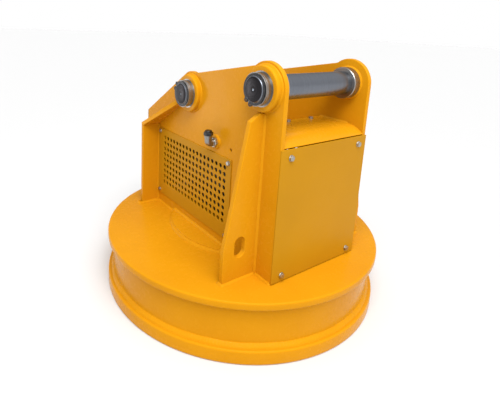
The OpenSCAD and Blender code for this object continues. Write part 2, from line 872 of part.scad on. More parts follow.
module control_box() {
    wall = 3;
    color(cast) difference() {
        translate([box_x[0], -box_y, tray_top])
            cube([box_x[1] - box_x[0], 2 * box_y, box_top - tray_top]);
        translate([box_x[0] + wall, -box_y + wall, tray_top + wall])
            cube([box_x[1] - box_x[0] - 2 * wall, 2 * (box_y - wall), box_top]);
        translate([lead_x, 0, tray_top - cut]) cylinder(r = lead_r, h = wall + 2 * cut);
    }
}

module control_box_lid() {
    lap = 2;
    color(cast) translate([box_x[0] - lap, -box_y - lap, box_top])
        cube([box_x[1] - box_x[0] + 2 * lap, 2 * (box_y + lap), 4]);
}

// Finned heat sink with the rectifier bridge on its top
module rectifier() {
    low = tray_top + 3;
    base = [110, 90, 12];
    fin_h = 40;
    color(steel) translate([box_x[0] + 12, 30, low]) {
        cube(base);
        for (y = [2:13:80]) translate([0, y, base[2] - eps]) cube([base[0], 4, fin_h]);
    }
    color(rubber) translate([box_x[0] + 27, 45, low + base[2] + fin_h - 2 * eps]) cube([80, 60, 22]);
}

module coil_lead() {
    low = coil_high + former_t;
    color(rubber) translate([lead_x, 0, 0]) {
        translate([0, 0, low]) cylinder(r = lead_r, h = tray_top + 40 - low);
        translate([0, 0, tray_top + 3]) cylinder(r = 20, h = 16, $fn = 6);
    }
}

top_plate();
pot_wall();
pole_ring();
centre_pole();
coil_former();
coil_winding();
coil_potting();
wear_plate();
doubler_plate();
ear_near();
ear_far();
front_gusset_near();
front_gusset_far();
rear_gusset_near();
rear_gusset_far();
boss_rings();
pin_bushes();
front_pin();
front_pin_washers();
front_pin_circlips();
rear_pin();
rear_pin_washers();
rear_pin_circlips();
roof_plate();
access_lid();
lid_bolts();
cover_frames();
front_cover();
rear_cover();
cover_bolts();
grille_near();
grille_far();
grille_screws();
port_bosses();
port_adapters();
port_elbows();
port_caps();
hydraulic_pipes();
valve_block();
mounting_tray();
rubber_mounts();
generator_housing();
end_bells();
generator_stator();
generator_rotor();
generator_shaft();
generator_bearings();
cooling_fan();
fan_cowl();
bell_housing();
coupling_hubs();
coupling_spider();
motor_casing();
motor_drive_gear();
motor_idler_gear();
control_box();
control_box_lid();
rectifier();
coil_lead();
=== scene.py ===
import json
import math

import bpy
from mathutils import Matrix, Vector
from mathutils.geometry import tessellate_polygon


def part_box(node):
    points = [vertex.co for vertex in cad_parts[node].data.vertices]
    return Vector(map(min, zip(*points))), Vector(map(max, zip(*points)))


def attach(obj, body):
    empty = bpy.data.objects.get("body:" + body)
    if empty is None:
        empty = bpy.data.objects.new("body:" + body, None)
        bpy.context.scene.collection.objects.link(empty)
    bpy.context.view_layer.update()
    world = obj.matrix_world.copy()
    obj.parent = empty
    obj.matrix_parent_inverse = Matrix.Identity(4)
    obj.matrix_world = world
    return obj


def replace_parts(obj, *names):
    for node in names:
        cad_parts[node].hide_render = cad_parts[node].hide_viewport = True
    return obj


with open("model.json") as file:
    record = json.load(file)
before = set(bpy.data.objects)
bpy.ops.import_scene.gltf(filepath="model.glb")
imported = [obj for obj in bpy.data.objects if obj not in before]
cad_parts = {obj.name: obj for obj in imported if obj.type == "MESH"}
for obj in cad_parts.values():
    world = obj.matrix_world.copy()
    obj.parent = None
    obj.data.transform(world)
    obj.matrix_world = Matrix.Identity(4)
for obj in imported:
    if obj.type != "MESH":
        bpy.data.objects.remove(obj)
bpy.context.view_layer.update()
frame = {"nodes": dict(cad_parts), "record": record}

# A lifting magnet in metres: pole face on the floor, bracket along X, attachment pins along Y
X, Y, Z = Vector((1, 0, 0)), Vector((0, 1, 0)), Vector((0, 0, 1))
MM = 0.001
TURN = 2 * math.pi


# ---------- measures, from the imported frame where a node's box gives them ----------


def low(node):
    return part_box(node)[0]


def high(node):
    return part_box(node)[1]


def centre(node):
    return (low(node) + high(node)) / 2


pot_r = high("top_plate").x
yoke_z = low("top_plate").z
deck_z = high("top_plate").z
ring_z = high("pole_ring").z
wall_r = high("pot_wall").x
doubler_r = high("doubler_plate").x
doubler_z = high("doubler_plate").z
ear_rear = low("ear_near").x
ear_front = high("ear_near").x
ear_out = -low("ear_near").y
ear_in = -high("ear_near").y
roof_z = high("roof_plate").z
roof_rear = low("roof_plate").x
front_pin = centre("front_pin")
rear_pin = centre("rear_pin")
pin_r = (high("front_pin").z - low("front_pin").z) / 2
pin_half = high("front_pin").y
washer_y = high("front_pin_washers").y
clip_y = high("front_pin_circlips").y
boss_y = high("boss_rings").y
boss_r = high("boss_rings").x - front_pin.x
bush_y = high("pin_bushes").y
bush_r = high("pin_bushes").x - front_pin.x
washer_r = high("front_pin_washers").x - front_pin.x
bush_nose_r = washer_r - MM
port_end = Vector(next(m["pos_m"] for m in frame["record"]["mounts"] if m["name"] == "near_port"))
elbow_y = -port_end.y
port = Vector((port_end.x, 0, centre("port_bosses").z))

# the rest repeat part.scad's own values
POT_WALL_T = 69 * MM
ARM_HALF = 172 * MM
WASHER_T = 9 * MM
CLIP_T = 3 * MM
ROOF_BEND_R = 100 * MM
ROOF_BEND = math.radians(45)
GUSSET_LEAN = math.radians(2.2)
GUSSET_TAPER = math.radians(12.9)
GUSSET_SLOPE = math.radians(32.7)
GUSSET_BEND_Z = 641 * MM
GUSSET_T = 20 * MM


# ---------- camera ----------

CAMERA_AT = Vector((1.358, -1.163, 1.130))
AZIMUTH, ELEVATION, ROLL = math.radians(55.2), math.radians(12.3), math.radians(2.3)
SENSOR_MM, LENS_MM = 36.0, 29.5
FRAMING_SHIFT = (0.0896, -0.174)


def add_camera():
    back = Vector((
        math.sin(AZIMUTH) * math.cos(ELEVATION),
        -math.cos(AZIMUTH) * math.cos(ELEVATION),
        math.sin(ELEVATION),
    ))
    level = Vector((math.cos(AZIMUTH), math.sin(AZIMUTH), 0))
    over = back.cross(level)
    right = math.cos(ROLL) * level + math.sin(ROLL) * over
    up = math.cos(ROLL) * over - math.sin(ROLL) * level
    data = bpy.data.cameras.new("camera")
    data.sensor_width = SENSOR_MM
    data.lens = LENS_MM
    data.shift_x, data.shift_y = FRAMING_SHIFT
    data.clip_end = 100
    camera = bpy.data.objects.new("camera", data)
    camera.matrix_world = Matrix((
        (right.x, up.x, back.x, CAMERA_AT.x),
        (right.y, up.y, back.y, CAMERA_AT.y),
        (right.z, up.z, back.z, CAMERA_AT.z),
        (0, 0, 0, 1),
    ))
    bpy.context.scene.collection.objects.link(camera)
    bpy.context.scene.camera = camera


add_camera()


# ---------- materials ----------


def socket(shader, name, value):
    shader.inputs[name].default_value = value


def link(tree, a, b):
    tree.links.new(a, b)


def map_range(tree, source, start, end, to_low, to_high, smooth=False):
    """source, where it goes from start to end, as a value from to_low to to_high"""
    made = tree.nodes.new("ShaderNodeMapRange")
    if smooth:
        made.interpolation_type = "SMOOTHSTEP"
    values = {"Value": source, "From Min": start, "From Max": end, "To Min": to_low, "To Max": to_high}
    for key, value in values.items():
        if isinstance(value, (int, float)):
            made.inputs[key].default_value = value
        else:
            link(tree, value, made.inputs[key])
    return made.outputs["Result"]


class Finish:
    """One procedural material: a Principled shader with small helpers for its nodes."""

    def __init__(self, name, **constants):
        self.material = bpy.data.materials.new(name)
        self.material.use_nodes = True
        self.tree = self.material.node_tree
        self.shader = self.tree.nodes["Principled BSDF"]
        self.height = None
        for key, value in constants.items():
            socket(self.shader, key.replace("_", " "), value)
        self.place = self.node("ShaderNodeTexCoord").outputs["Object"]

    def node(self, kind, **settings):
        made = self.tree.nodes.new(kind)
        for key, value in settings.items():
            setattr(made, key, value)
        return made

    def stretched(self, scale):
        mapping = self.node("ShaderNodeMapping")
        mapping.inputs["Scale"].default_value = scale
        link(self.tree, self.place, mapping.inputs["Vector"])
        return mapping.outputs["Vector"]

    def noise(self, scale, detail=2.0, rough=0.5, place=None):
        made = self.node("ShaderNodeTexNoise")
        made.inputs["Scale"].default_value = scale
        made.inputs["Detail"].default_value = detail
        made.inputs["Roughness"].default_value = rough
        link(self.tree, place or self.place, made.inputs["Vector"])
        return made.outputs["Fac"]

    def spread(self, source, start, end, to_low, to_high):
        return map_range(self.tree, source, start, end, to_low, to_high)

    def mixed(self, factor, first, second):
        made = self.node("ShaderNodeMix", data_type="RGBA")
        link(self.tree, factor, made.inputs["Factor"])
        for key, value in ((6, first), (7, second)):
            if isinstance(value, tuple):
                made.inputs[key].default_value = (*value, 1)
            else:
                link(self.tree, value, made.inputs[key])
        return made.outputs[2]

    def color(self, source):
        link(self.tree, source, self.shader.inputs["Base Color"])

    def rough(self, source):
        link(self.tree, source, self.shader.inputs["Roughness"])

    def bump(self, source, distance):
        made = self.node("ShaderNodeBump")
        made.inputs["Strength"].default_value = 1.0
        made.inputs["Distance"].default_value = distance
        link(self.tree, source, made.inputs["Height"])
        if self.height:
            link(self.tree, self.height, made.inputs["Normal"])
        self.height = made.outputs["Normal"]
        link(self.tree, self.height, self.shader.inputs["Normal"])


def enamel(name, light, dark, rough, glow):
    """Sprayed paint: cloudy colour, sheet waviness, orange peel, uneven gloss"""
    f = Finish(name, Coat_Weight=0.01, Coat_Roughness=0.1, Specular_IOR_Level=0.11, Specular_Tint=(*glow, 1))
    f.color(f.mixed(f.spread(f.noise(3.5, 3), 0.35, 0.65, 0, 1), light, dark))
    f.rough(f.spread(f.noise(40, 4, 0.6), 0.3, 0.7, rough - 0.04, rough + 0.06))
    f.bump(f.noise(5, 1), 0.0016)
    f.bump(f.noise(260, 1), 0.00008)
    return f.material


def turned_steel(name, tint, rough, axis_scale):
    """Machined metal, its fine feed marks closest along axis_scale's largest component"""
    f = Finish(name, Metallic=1.0)
    dark = tuple(0.72 * c for c in tint)
    f.color(f.mixed(f.spread(f.noise(14, 4, 0.6), 0.35, 0.7, 0, 1), tint, dark))
    marks = f.noise(1, 3, 0.7, f.stretched(axis_scale))
    f.rough(f.spread(marks, 0.3, 0.7, rough - 0.06, rough + 0.08))
    f.bump(marks, 0.00005)
    return f.material


def face_turned_steel(name, tint, face_shade_tint, rough):
    """A pin turned about its own Y axis: rings on its end faces, which are tinted darker as painted shade,
    feed marks along the bar
    """
    f = Finish(name, Metallic=1.0, Anisotropic=0.5)
    split = f.node("ShaderNodeSeparateXYZ")
    link(f.tree, f.place, split.inputs["Vector"])
    flat = f.node("ShaderNodeCombineXYZ")
    link(f.tree, split.outputs["X"], flat.inputs["X"])
    link(f.tree, split.outputs["Z"], flat.inputs["Z"])
    radius = f.node("ShaderNodeVectorMath", operation="LENGTH")
    link(f.tree, flat.outputs["Vector"], radius.inputs[0])
    ring = f.node("ShaderNodeCombineXYZ")
    link(f.tree, radius.outputs["Value"], ring.inputs["X"])
    link(f.tree, split.outputs["Y"], ring.inputs["Y"])
    marks = f.noise(1400, 2, 0.6, ring.outputs["Vector"])
    bands = f.noise(160, 2, 0.6, ring.outputs["Vector"])
    along = f.node("ShaderNodeMath", operation="ABSOLUTE")
    link(f.tree, split.outputs["Y"], along.inputs[0])
    # the end faces take the second, darker tint of the same steel: painted shade on the end faces
    at_end = f.spread(along.outputs["Value"], pin_half - 1.2 * MM, pin_half - 0.6 * MM, 0, 1)
    bar = f.mixed(f.spread(bands, 0.35, 0.65, 0, 1), tint, tuple(0.88 * c for c in tint))
    face = f.mixed(f.spread(bands, 0.35, 0.65, 0, 1), face_shade_tint, tuple(0.6 * c for c in face_shade_tint))
    f.color(f.mixed(at_end, bar, face))
    f.rough(f.spread(marks, 0.3, 0.7, rough - 0.03, rough + 0.04))
    f.bump(marks, 0.00001)
    tangent = f.node("ShaderNodeTangent", direction_type="RADIAL", axis="Y")
    link(f.tree, tangent.outputs["Tangent"], f.shader.inputs["Tangent"])
    return f.material


def plain_metal(name, tint, rough, grain=300, depth=0.00004, metallic=1.0):
    f = Finish(name, Metallic=metallic)
    f.color(f.mixed(f.spread(f.noise(30, 4, 0.6), 0.35, 0.65, 0, 1), tint, tuple(0.75 * c for c in tint)))
    f.rough(f.spread(f.noise(grain, 3, 0.6), 0.3, 0.7, rough - 0.07, rough + 0.1))
    f.bump(f.noise(grain, 2), depth)
    return f.material


def moulded(name, tint, rough, grain=220, depth=0.00008):
    f = Finish(name, Specular_IOR_Level=0.4)
    f.color(f.mixed(f.spread(f.noise(12, 3), 0.35, 0.65, 0, 1), tint, tuple(0.7 * c for c in tint)))
    f.rough(f.spread(f.noise(grain, 3), 0.3, 0.7, rough - 0.06, rough + 0.08))
    f.bump(f.noise(grain, 2), depth)
    return f.material


FINISH = {
    "paint": enamel(
        "enamel_yellow", (0.57, 0.241, 0.005), (0.535, 0.219, 0.004), 0.25, glow=(1.0, 0.66, 0.12)
    ),
    "cover_paint": enamel(
        "enamel_mustard", (0.44, 0.202, 0.005), (0.41, 0.188, 0.005), 0.42, glow=(1.0, 0.72, 0.2)
    ),
    "steel": turned_steel("turned_steel", (0.36, 0.35, 0.335), 0.32, (90, 900, 90)),
    # the pins' second tint is painted shade on their end faces
    "pin_steel": face_turned_steel("pin_steel", (0.2, 0.214, 0.245), (0.035, 0.032, 0.035), 0.28),
    "zinc": plain_metal("zinc_plate", (0.5, 0.49, 0.46), 0.32),
    "dark_steel": plain_metal("oiled_steel", (0.055, 0.055, 0.058), 0.34),
    "cast": plain_metal("painted_casting", (0.07, 0.075, 0.08), 0.5, 120, 0.0004, 0.0),
    "aluminium": plain_metal("aluminium", (0.66, 0.66, 0.68), 0.38),
    "resin": moulded("resin", (0.07, 0.022, 0.010), 0.4),
    "rubber": moulded("rubber", (0.018, 0.018, 0.019), 0.62),
    "spider": moulded("spider_polyurethane", (0.45, 0.03, 0.015), 0.45),
}
node_slot = {row["node"]: row["material_slot"] for row in frame["record"]["subparts"]}
for node, cad in frame["nodes"].items():
    for place in cad.material_slots:
        place.material = FINISH[node_slot[node]]


# ---------- mesh helpers ----------


def add_piece(name, parts, body, slot, origin=Vector((0, 0, 0)), sharp=35):
    """One object from a list of (vertices, faces), riding on a body"""
    verts, faces = [], []
    for v, f in parts:
        faces += [[i + len(verts) for i in face] for face in f]
        verts += [Vector(p) - origin for p in v]
    mesh = bpy.data.meshes.new(name)
    mesh.from_pydata([tuple(p) for p in verts], [], faces)
    mesh.validate()
    mesh.shade_smooth()
    mesh.set_sharp_from_angle(angle=math.radians(sharp))
    mesh.materials.append(FINISH[slot])
    obj = bpy.data.objects.new(name, mesh)
    obj.location = origin
    bpy.context.scene.collection.objects.link(obj)
    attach(obj, body)
    return obj


def loft(rings, closed=False):
    """Join rings of points that all have the same count, into a loop if closed, else with end caps"""
    n = len(rings[0])
    verts = [p for ring in rings for p in ring]
    faces = []
    count = len(rings)
    for i in range(count if closed else count - 1):
        for k in range(n):
            a, b = i * n + k, i * n + (k + 1) % n
            c, d = (b + n) % len(verts), (a + n) % len(verts)
            faces.append((a, b, c, d))
    if not closed:
        faces.append(tuple(reversed(range(n))))
        faces.append(tuple(range((count - 1) * n, count * n)))
    return verts, faces


def turned(profile, at, axis, segments=96, closed=False):
    """Lathe: profile is a list of (radius, height along axis); radius may be a function of the angle"""
    side = axis.orthogonal().normalized() if abs(axis.x) > 0.9 else X
    other = axis.cross(side)
    rings = []
    for radius, h in profile:
        ring = []
        for k in range(segments):
            t = TURN * k / segments
            r = radius(t) if callable(radius) else radius
            ring.append(at + axis * h + (side * math.cos(t) + other * math.sin(t)) * r)
        rings.append(ring)
    return loft(rings, closed)


def rounded(r_in, r_out, z0, z1, f, steps=5):
    """Closed section of a flat ring with both outer corners rounded"""
    section = [(r_in, z0)]
    for base, start in ((z0 + f, -90), (z1 - f, 0)):
        for k in range(steps + 1):
            a = math.radians(start + 90 * k / steps)
            section.append((r_out - f + f * math.cos(a), base + f * math.sin(a)))
    section.append((r_in, z1))
    return section


# ---------- magnet pot ----------

RIM = 7 * MM
POT_SEGMENTS = 288


def pot_pieces():
    inner = wall_r - POT_WALL_T
    plates = (
        ("top_plate", rounded(MM, pot_r, yoke_z, deck_z, RIM)),
        ("pot_wall", rounded(inner, wall_r, ring_z, yoke_z, 0.2 * MM, 1)),
        ("pole_ring", rounded(inner, pot_r, 0, ring_z, RIM)),
        ("doubler_plate", rounded(MM, doubler_r, deck_z, doubler_z, 3 * MM)),
    )
    for node, section in plates:
        shape = turned(section, Vector((0, 0, 0)), Z, POT_SEGMENTS, True)
        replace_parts(add_piece(node + "_turned", [shape], "magnet", "paint"), node)


pot_pieces()


# ---------- weld beads ----------

BEAD_POINTS = 7
BEAD_ROOT = 1.2 * MM
BEAD_SINK = 0.3 * MM
PLATE_BEAD, GUSSET_BEAD, RING_BEAD, SMALL_BEAD = 8 * MM, 7 * MM, 6 * MM, 5 * MM
REAR_BEAD_TOP = 640 * MM


def bead(path, size, closed=False):
    """Fillet weld along path: (corner point, direction up the plate, direction out along the base)"""
    pitch = 0.8 * size
    rings, run, last = [], 0.0, None
    total = sum((b[0] - a[0]).length for a, b in zip(path, path[1:]))
    for p, up, out in path:
        if last is not None:
            run += (p - last).length
        last = p
        end = 1.0
        if not closed:
            near = min(run, total - run)
            end = 0.35 + 0.65 * min(1.0, near / (0.8 * size))
        ring = [p - (up + out) * BEAD_ROOT]
        for k in range(BEAD_POINTS):
            t = k / (BEAD_POINTS - 1)
            lead = 0.35 * (1 - (2 * t - 1) ** 2)
            ripple = 1 + 0.035 * math.sin(TURN * (run / pitch + lead)) * math.sin(math.pi * t)
            uneven = 1 + 0.05 * math.sin(run * 31 + 2 * t) + 0.03 * math.sin(run * 83)
            s = size * end * ripple * uneven
            c, w = math.cos(t * math.pi / 2) ** 1.6, math.sin(t * math.pi / 2) ** 1.6
            ring.append(p + up * (s * c - BEAD_SINK) + out * (s * w - BEAD_SINK))
        rings.append(ring)
    return loft(rings, closed)


def straight(a, b, up, out, size):
    """Points along a straight weld, close enough for its ripples"""
    n = max(4, int((b - a).length / (0.2 * size)))
    return [(a.lerp(b, i / n), up, out) for i in range(n + 1)]


def round_path(at, radius, axis, up, size, start=0, end=360):
    """Points along a circular weld about axis, in degrees from X"""
    other = axis.cross(X)
    n = max(8, int(math.radians(abs(end - start)) * radius / (0.2 * size)))
    full = abs(end - start) >= 360
    path = []
    for i in range(n if full else n + 1):
        t = math.radians(start + (end - start) * i / n)
        radial = X * math.cos(t) + other * math.sin(t)
        path.append((at + radial * radius, up, radial))
    return path


def corner(at, up, out_a, out_b, steps=6):
    """The bead turns round a plate's vertical edge"""
    path = []
    for i in range(steps + 1):
        t = math.pi / 2 * i / steps
        path.append((at, up, out_a * math.cos(t) + out_b * math.sin(t)))
    return path


def foot(x0, x1, y0, y1, z, size):
    """Bead round three sides of an upright near plate's foot, from y0 out to y1 and back"""
    out = -Y
    a, b = Vector((x1, y0, z)), Vector((x1, y1, z))
    c, d = Vector((x0, y1, z)), Vector((x0, y0, z))
    return (
        straight(a, b, Z, X, size)[:-1] + corner(b, Z, X, out)
        + straight(b, c, Z, out, size)[1:-1] + corner(c, Z, out, -X)
        + straight(c, d, Z, -X, size)[1:]
    )


def mirrored(path):
    """The same path on the far side"""
    flip = Vector((1, -1, 1))
    return [tuple(v * flip for v in point) for point in path]


def pot_welds():
    top, bottom, edge = 8 * MM, 14 * MM, 10 * MM
    parts = [
        bead(round_path(Z * yoke_z, wall_r, Z, -Z, top), top, True),
        bead(round_path(Z * ring_z, wall_r, Z, Z, bottom), bottom, True),
    ]
    across = math.degrees(math.asin(ear_out / doubler_r))
    for start in (180 + across, across):
        end = start + 180 - 2 * across
        parts.append(bead(round_path(Z * deck_z, doubler_r, Z, Z, edge, start, end), edge))
    return parts


def bracket_welds():
    side = math.sqrt(doubler_r**2 - ear_out**2)
    front = (low("front_gusset_near").x, high("front_gusset_near").x)
    rear = (low("rear_gusset_near").x, low("rear_gusset_near").x + front[1] - front[0])
    wall = Vector((0, -ear_out, 0))
    paths = []
    for x0, x1, z in (
        (ear_rear, rear[0], deck_z),
        (rear[1], -side, deck_z),
        (-side, side, doubler_z),
        (side, front[0], deck_z),
        (front[1], ear_front, deck_z),
    ):
        a, b = wall + X * x0 + Z * z, wall + X * x1 + Z * z
        paths.append((straight(a, b, Z, -Y, PLATE_BEAD), PLATE_BEAD))
    for ends, node in ((front, "front_gusset_near"), (rear, "rear_gusset_near")):
        paths.append((foot(*ends, -ear_out, low(node).y, deck_z, PLATE_BEAD), PLATE_BEAD))
    for x, out, top in (
        (front[0], -X, high("front_gusset_near").z),
        (front[1], X, high("front_gusset_near").z),
        (rear[0], -X, REAR_BEAD_TOP),
        (rear[1], X, REAR_BEAD_TOP),
    ):
        a, b = wall + X * x + Z * deck_z, wall + X * x + Z * top
        paths.append((straight(a, b, -Y, out, GUSSET_BEAD), GUSSET_BEAD))
    for pin in (front_pin, rear_pin):
        at = Vector((pin.x, -ear_out, pin.z))
        paths.append((round_path(at, boss_r, -Y, -Y, RING_BEAD), RING_BEAD, True))
        at = Vector((pin.x, -ear_in, pin.z))
        paths.append((round_path(at, bush_r, Y, Y, RING_BEAD), RING_BEAD, True))
    at = Vector((port.x, -ear_out, port.z))
    port_boss_r = high("port_bosses").x - port.x
    paths.append((round_path(at, port_boss_r, -Y, -Y, SMALL_BEAD), SMALL_BEAD, True))
    roof = Vector((0, -ear_in, roof_z))
    bend_x = ear_front - ROOF_BEND_R * math.sin(ROOF_BEND)
    paths.append((straight(roof + X * roof_rear, roof + X * bend_x, Z, Y, SMALL_BEAD), SMALL_BEAD))
    return [bead(flip(entry[0]), *entry[1:]) for entry in paths for flip in (list, mirrored)]


add_piece("pot_weld_beads", pot_welds(), "magnet", "paint", sharp=60)
add_piece("bracket_weld_beads", bracket_welds(), "magnet", "paint", sharp=60)


# ---------- plates and sheets ----------


def face_loops(node, axis):
    """Outlines of a node's flat face furthest along axis: 2-D loops with the material on their left"""
    mesh = frame["nodes"][node].data
    level = max(v.co.dot(axis) for v in mesh.vertices)
    u, v = flat_axes(axis)
    spots, sides = {}, {}
    for face in mesh.polygons:
        corners = [mesh.vertices[i].co for i in face.vertices]
        if face.normal.dot(axis) < 0.99 or any(abs(c.dot(axis) - level) > 0.02 * MM for c in corners):
            continue
        keys = [(round(c.dot(u) / MM, 2), round(c.dot(v) / MM, 2)) for c in corners]
        for key, c in zip(keys, corners):
            spots[key] = Vector((c.dot(u), c.dot(v)))
        for k, key in enumerate(keys):
            pair = (key, keys[(k + 1) % len(keys)])
            if pair[::-1] in sides:
                del sides[pair[::-1]]
            else:
                sides[pair] = True
    follow = {}
    for start, end in sides:
        follow.setdefault(start, []).append(end)
    loops = []
    while follow:
        start = next(iter(follow))
        loop, here = [], start
        while here in follow:
            loop.append(spots[here])
            there = follow[here].pop()
            if not follow[here]:
                del follow[here]
            here = there
        loops.append(straightened(loop))
    loops = [loop for loop in loops if len(loop) > 2]
    return sorted(loops, key=lambda loop: -abs(area(loop)))


def flat_axes(axis):
    """Two directions in the plane across axis, with u x v = axis"""
    u = X if abs(axis.x) < 0.5 else Y
    return u, axis.cross(u)


def area(loop):
    return sum(a.x * b.y - b.x * a.y for a, b in zip(loop, loop[1:] + loop[:1])) / 2


def straightened(loop):
    """Drop the points that lie on a straight run"""
    kept = []
    for k, p in enumerate(loop):
        a, b = loop[k - 1], loop[(k + 1) % len(loop)]
        cross = (p.x - a.x) * (b.y - p.y) - (p.y - a.y) * (b.x - p.x)
        if abs(cross) > 1e-9 + 1e-4 * (p - a).length * (b - p).length:
            kept.append(p)
    return kept


def eased(loop, radius):
    """Round the loop's real corners, and leave its arcs as they are"""
    made = []
    for k, p in enumerate(loop):
        a, b = loop[k - 1] - p, loop[(k + 1) % len(loop)] - p
        turn = math.pi - a.angle(b)
        reach = radius * math.tan(turn / 2)
        if turn < math.radians(18) or reach > 0.48 * min(a.length, b.length):
            made.append(p)
            continue
        start, end = p + a.normalized() * reach, p + b.normalized() * reach
        steps = max(2, int(math.degrees(turn) / 12))
        for i in range(steps + 1):
            t = i / steps
            made.append(start * (1 - t) ** 2 + p * 2 * t * (1 - t) + end * t * t)
    return made


def inset(loop, distance):
    """The loop moved towards its left by distance, with mitred corners"""
    moved = []
    for k, p in enumerate(loop):
        a = (p - loop[k - 1]).normalized()
        b = (loop[(k + 1) % len(loop)] - p).normalized()
        normal = Vector((-a.y - b.y, a.x + b.x))
        if normal.length < 1e-6:
            moved.append(p.copy())
            continue
        normal.normalize()
        cosine = max(0.4, normal.dot(Vector((-a.y, a.x))))
        moved.append(p + normal * distance / cosine)
    return moved


def slab(loops, axis, base, top, edge, steps=3):
    """A plate with rounded edges: loops lie across axis, and it runs from base to top(point) along axis"""
    u, v = flat_axes(axis)
    reach = top if callable(top) else lambda p: top
    levels = []
    for k in range(steps + 1):
        t = math.pi / 2 * k / steps
        levels.append((edge * (1 - math.sin(t)), 0, edge * (1 - math.cos(t))))
    levels += [(offset, 1, -lift) for offset, _, lift in reversed(levels)]
    verts, faces, ends = [], [], ([], [])
    for loop in loops:
        n, first = len(loop), len(verts)
        for row, (offset, upper, lift) in enumerate(levels):
            ring = inset(loop, offset)
            if row in (0, len(levels) - 1):
                ends[upper].append((first + row * n, ring))
            for p in ring:
                h = (reach(p) if upper else base) + lift
                verts.append(u * p.x + v * p.y + axis * h)
        for row in range(len(levels) - 1):
            for k in range(n):
                a, b = first + row * n + k, first + row * n + (k + 1) % n
                faces.append((a, b, b + n, a + n))
    for upper, caps in enumerate(ends):
        index = [start + k for start, ring in caps for k in range(len(ring))]
        flat = [[Vector((p.x, p.y, 0)) for p in ring] for _, ring in caps]
        for tri in tessellate_polygon(flat):
            face = [index[i] for i in tri]
            a, b, c = (verts[i] for i in face)
            facing = (b - a).cross(c - a).dot(axis)
            faces.append(face if (facing > 0) == bool(upper) else face[::-1])
    return verts, faces


def add_plate(node, axis, edge, round_corners=0.0, thick=None, both=False, steps=3, top=None):
    """Rebuild a CAD plate from its own outline, with rounded edges

    thick is given where the node holds more than one plate, both where it has one on each side, and
    top where the plate's height along axis varies from point to point.
    """
    parts = []
    for way in (axis, -axis) if both else (axis,):
        heights = [v.co.dot(way) for v in frame["nodes"][node].data.vertices]
        level = max(heights)
        base = level - thick if thick else min(heights)
        loops = face_loops(node, -way if top else way)
        if top:
            loops = [[Vector((p.x, -p.y)) for p in reversed(loop)] for loop in loops]
        if round_corners:
            loops = [eased(loop, round_corners) for loop in loops]
        parts.append(slab(loops, way, base, top or level, edge, steps))
    piece = add_piece(node + "_plate", parts, body_of[node], node_slot[node], sharp=50)
    normals = piece.modifiers.new("normals", "WEIGHTED_NORMAL")
    normals.keep_sharp = True
    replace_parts(piece, node)


body_of = {n: body for body, nodes in frame["record"]["behaviour"]["bodies"].items() for n in nodes}


def gusset_reach(p):
    """How far out a rear gusset reaches at a point of its outline: it leans in, then tapers past the bend"""
    lean = math.tan(GUSSET_LEAN)
    taper = math.tan(GUSSET_TAPER) / math.cos(GUSSET_SLOPE)
    at_foot = high("rear_gusset_far").y
    past = max(0.0, p.x - low("rear_gusset_far").x - GUSSET_T)
    upright = at_foot - (abs(p.y) - deck_z) * lean
    folded = at_foot - (GUSSET_BEND_Z - deck_z) * lean - past * taper
    return min(upright, folded)


for side, way in (("near", -Y), ("far", Y)):
    add_plate("ear_" + side, way, 2.5 * MM)
    add_plate("grille_" + side, way, 0.8 * MM, 3 * MM, steps=2)
    add_plate("front_gusset_" + side, X, 2.5 * MM, 3 * MM)
    add_plate("rear_gusset_" + side, way, 2.5 * MM, 5 * MM, top=gusset_reach)
add_plate("front_cover", X, 1.0 * MM, 2 * MM)
add_plate("rear_cover", -X, 1.0 * MM, 2 * MM)
add_plate("roof_plate", Y, 0.5 * MM, 2 * MM)
add_plate("access_lid", Y, 0.5 * MM, 2 * MM)
for node in ("front_pin_circlips", "rear_pin_circlips"):
    add_plate(node, Y, 0.4 * MM, both=True, thick=CLIP_T)


def ring_section(r_in, r_out, h0, h1, c):
    """Closed section of a plain ring with all corners broken by c"""
    return [
        (r_in + c, h0), (r_out - c, h0), (r_out, h0 + c), (r_out, h1 - c),
        (r_out - c, h1), (r_in + c, h1), (r_in, h1 - c), (r_in, h0 + c),
    ]


def dress_rings():
    """Bosses, bushes and thrust washers round both pins

    The bushes' bore is a little wider than in the CAD, so that the meshes stay apart at any angle.
    """
    bosses, bushes = [], []
    bore = pin_r + 0.3 * MM
    for pin, name in ((front_pin, "front_pin"), (rear_pin, "rear_pin")):
        at = Vector((pin.x, 0, pin.z))
        washers = []
        for way in (-Y, Y):
            bosses.append(turned(rounded(bush_r, boss_r, ear_out, boss_y, 6 * MM, 6), at, way, 128, True))
            bushes.append(turned([
                (bore, ARM_HALF), (bush_r - 2 * MM, ARM_HALF), (bush_r, ARM_HALF + 2 * MM), (bush_r, boss_y),
                (bush_nose_r, boss_y), (bush_nose_r, bush_y - MM), (bush_nose_r - MM, bush_y), (bore, bush_y),
            ], at, way, 128, True))
            section = ring_section(pin_r, washer_r, washer_y - WASHER_T, washer_y, 0.8 * MM)
            washers.append(turned(section, at, way, 128, True))
        piece = add_piece(name + "_washers_turned", washers, name + "_body", "steel")
        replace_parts(piece, name + "_washers")
    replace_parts(add_piece("boss_rings_turned", bosses, "magnet", "paint", sharp=50), "boss_rings")
    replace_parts(add_piece("pin_bushes_turned", bushes, "magnet", "steel"), "pin_bushes")


dress_rings()


# ---------- attachment pins ----------


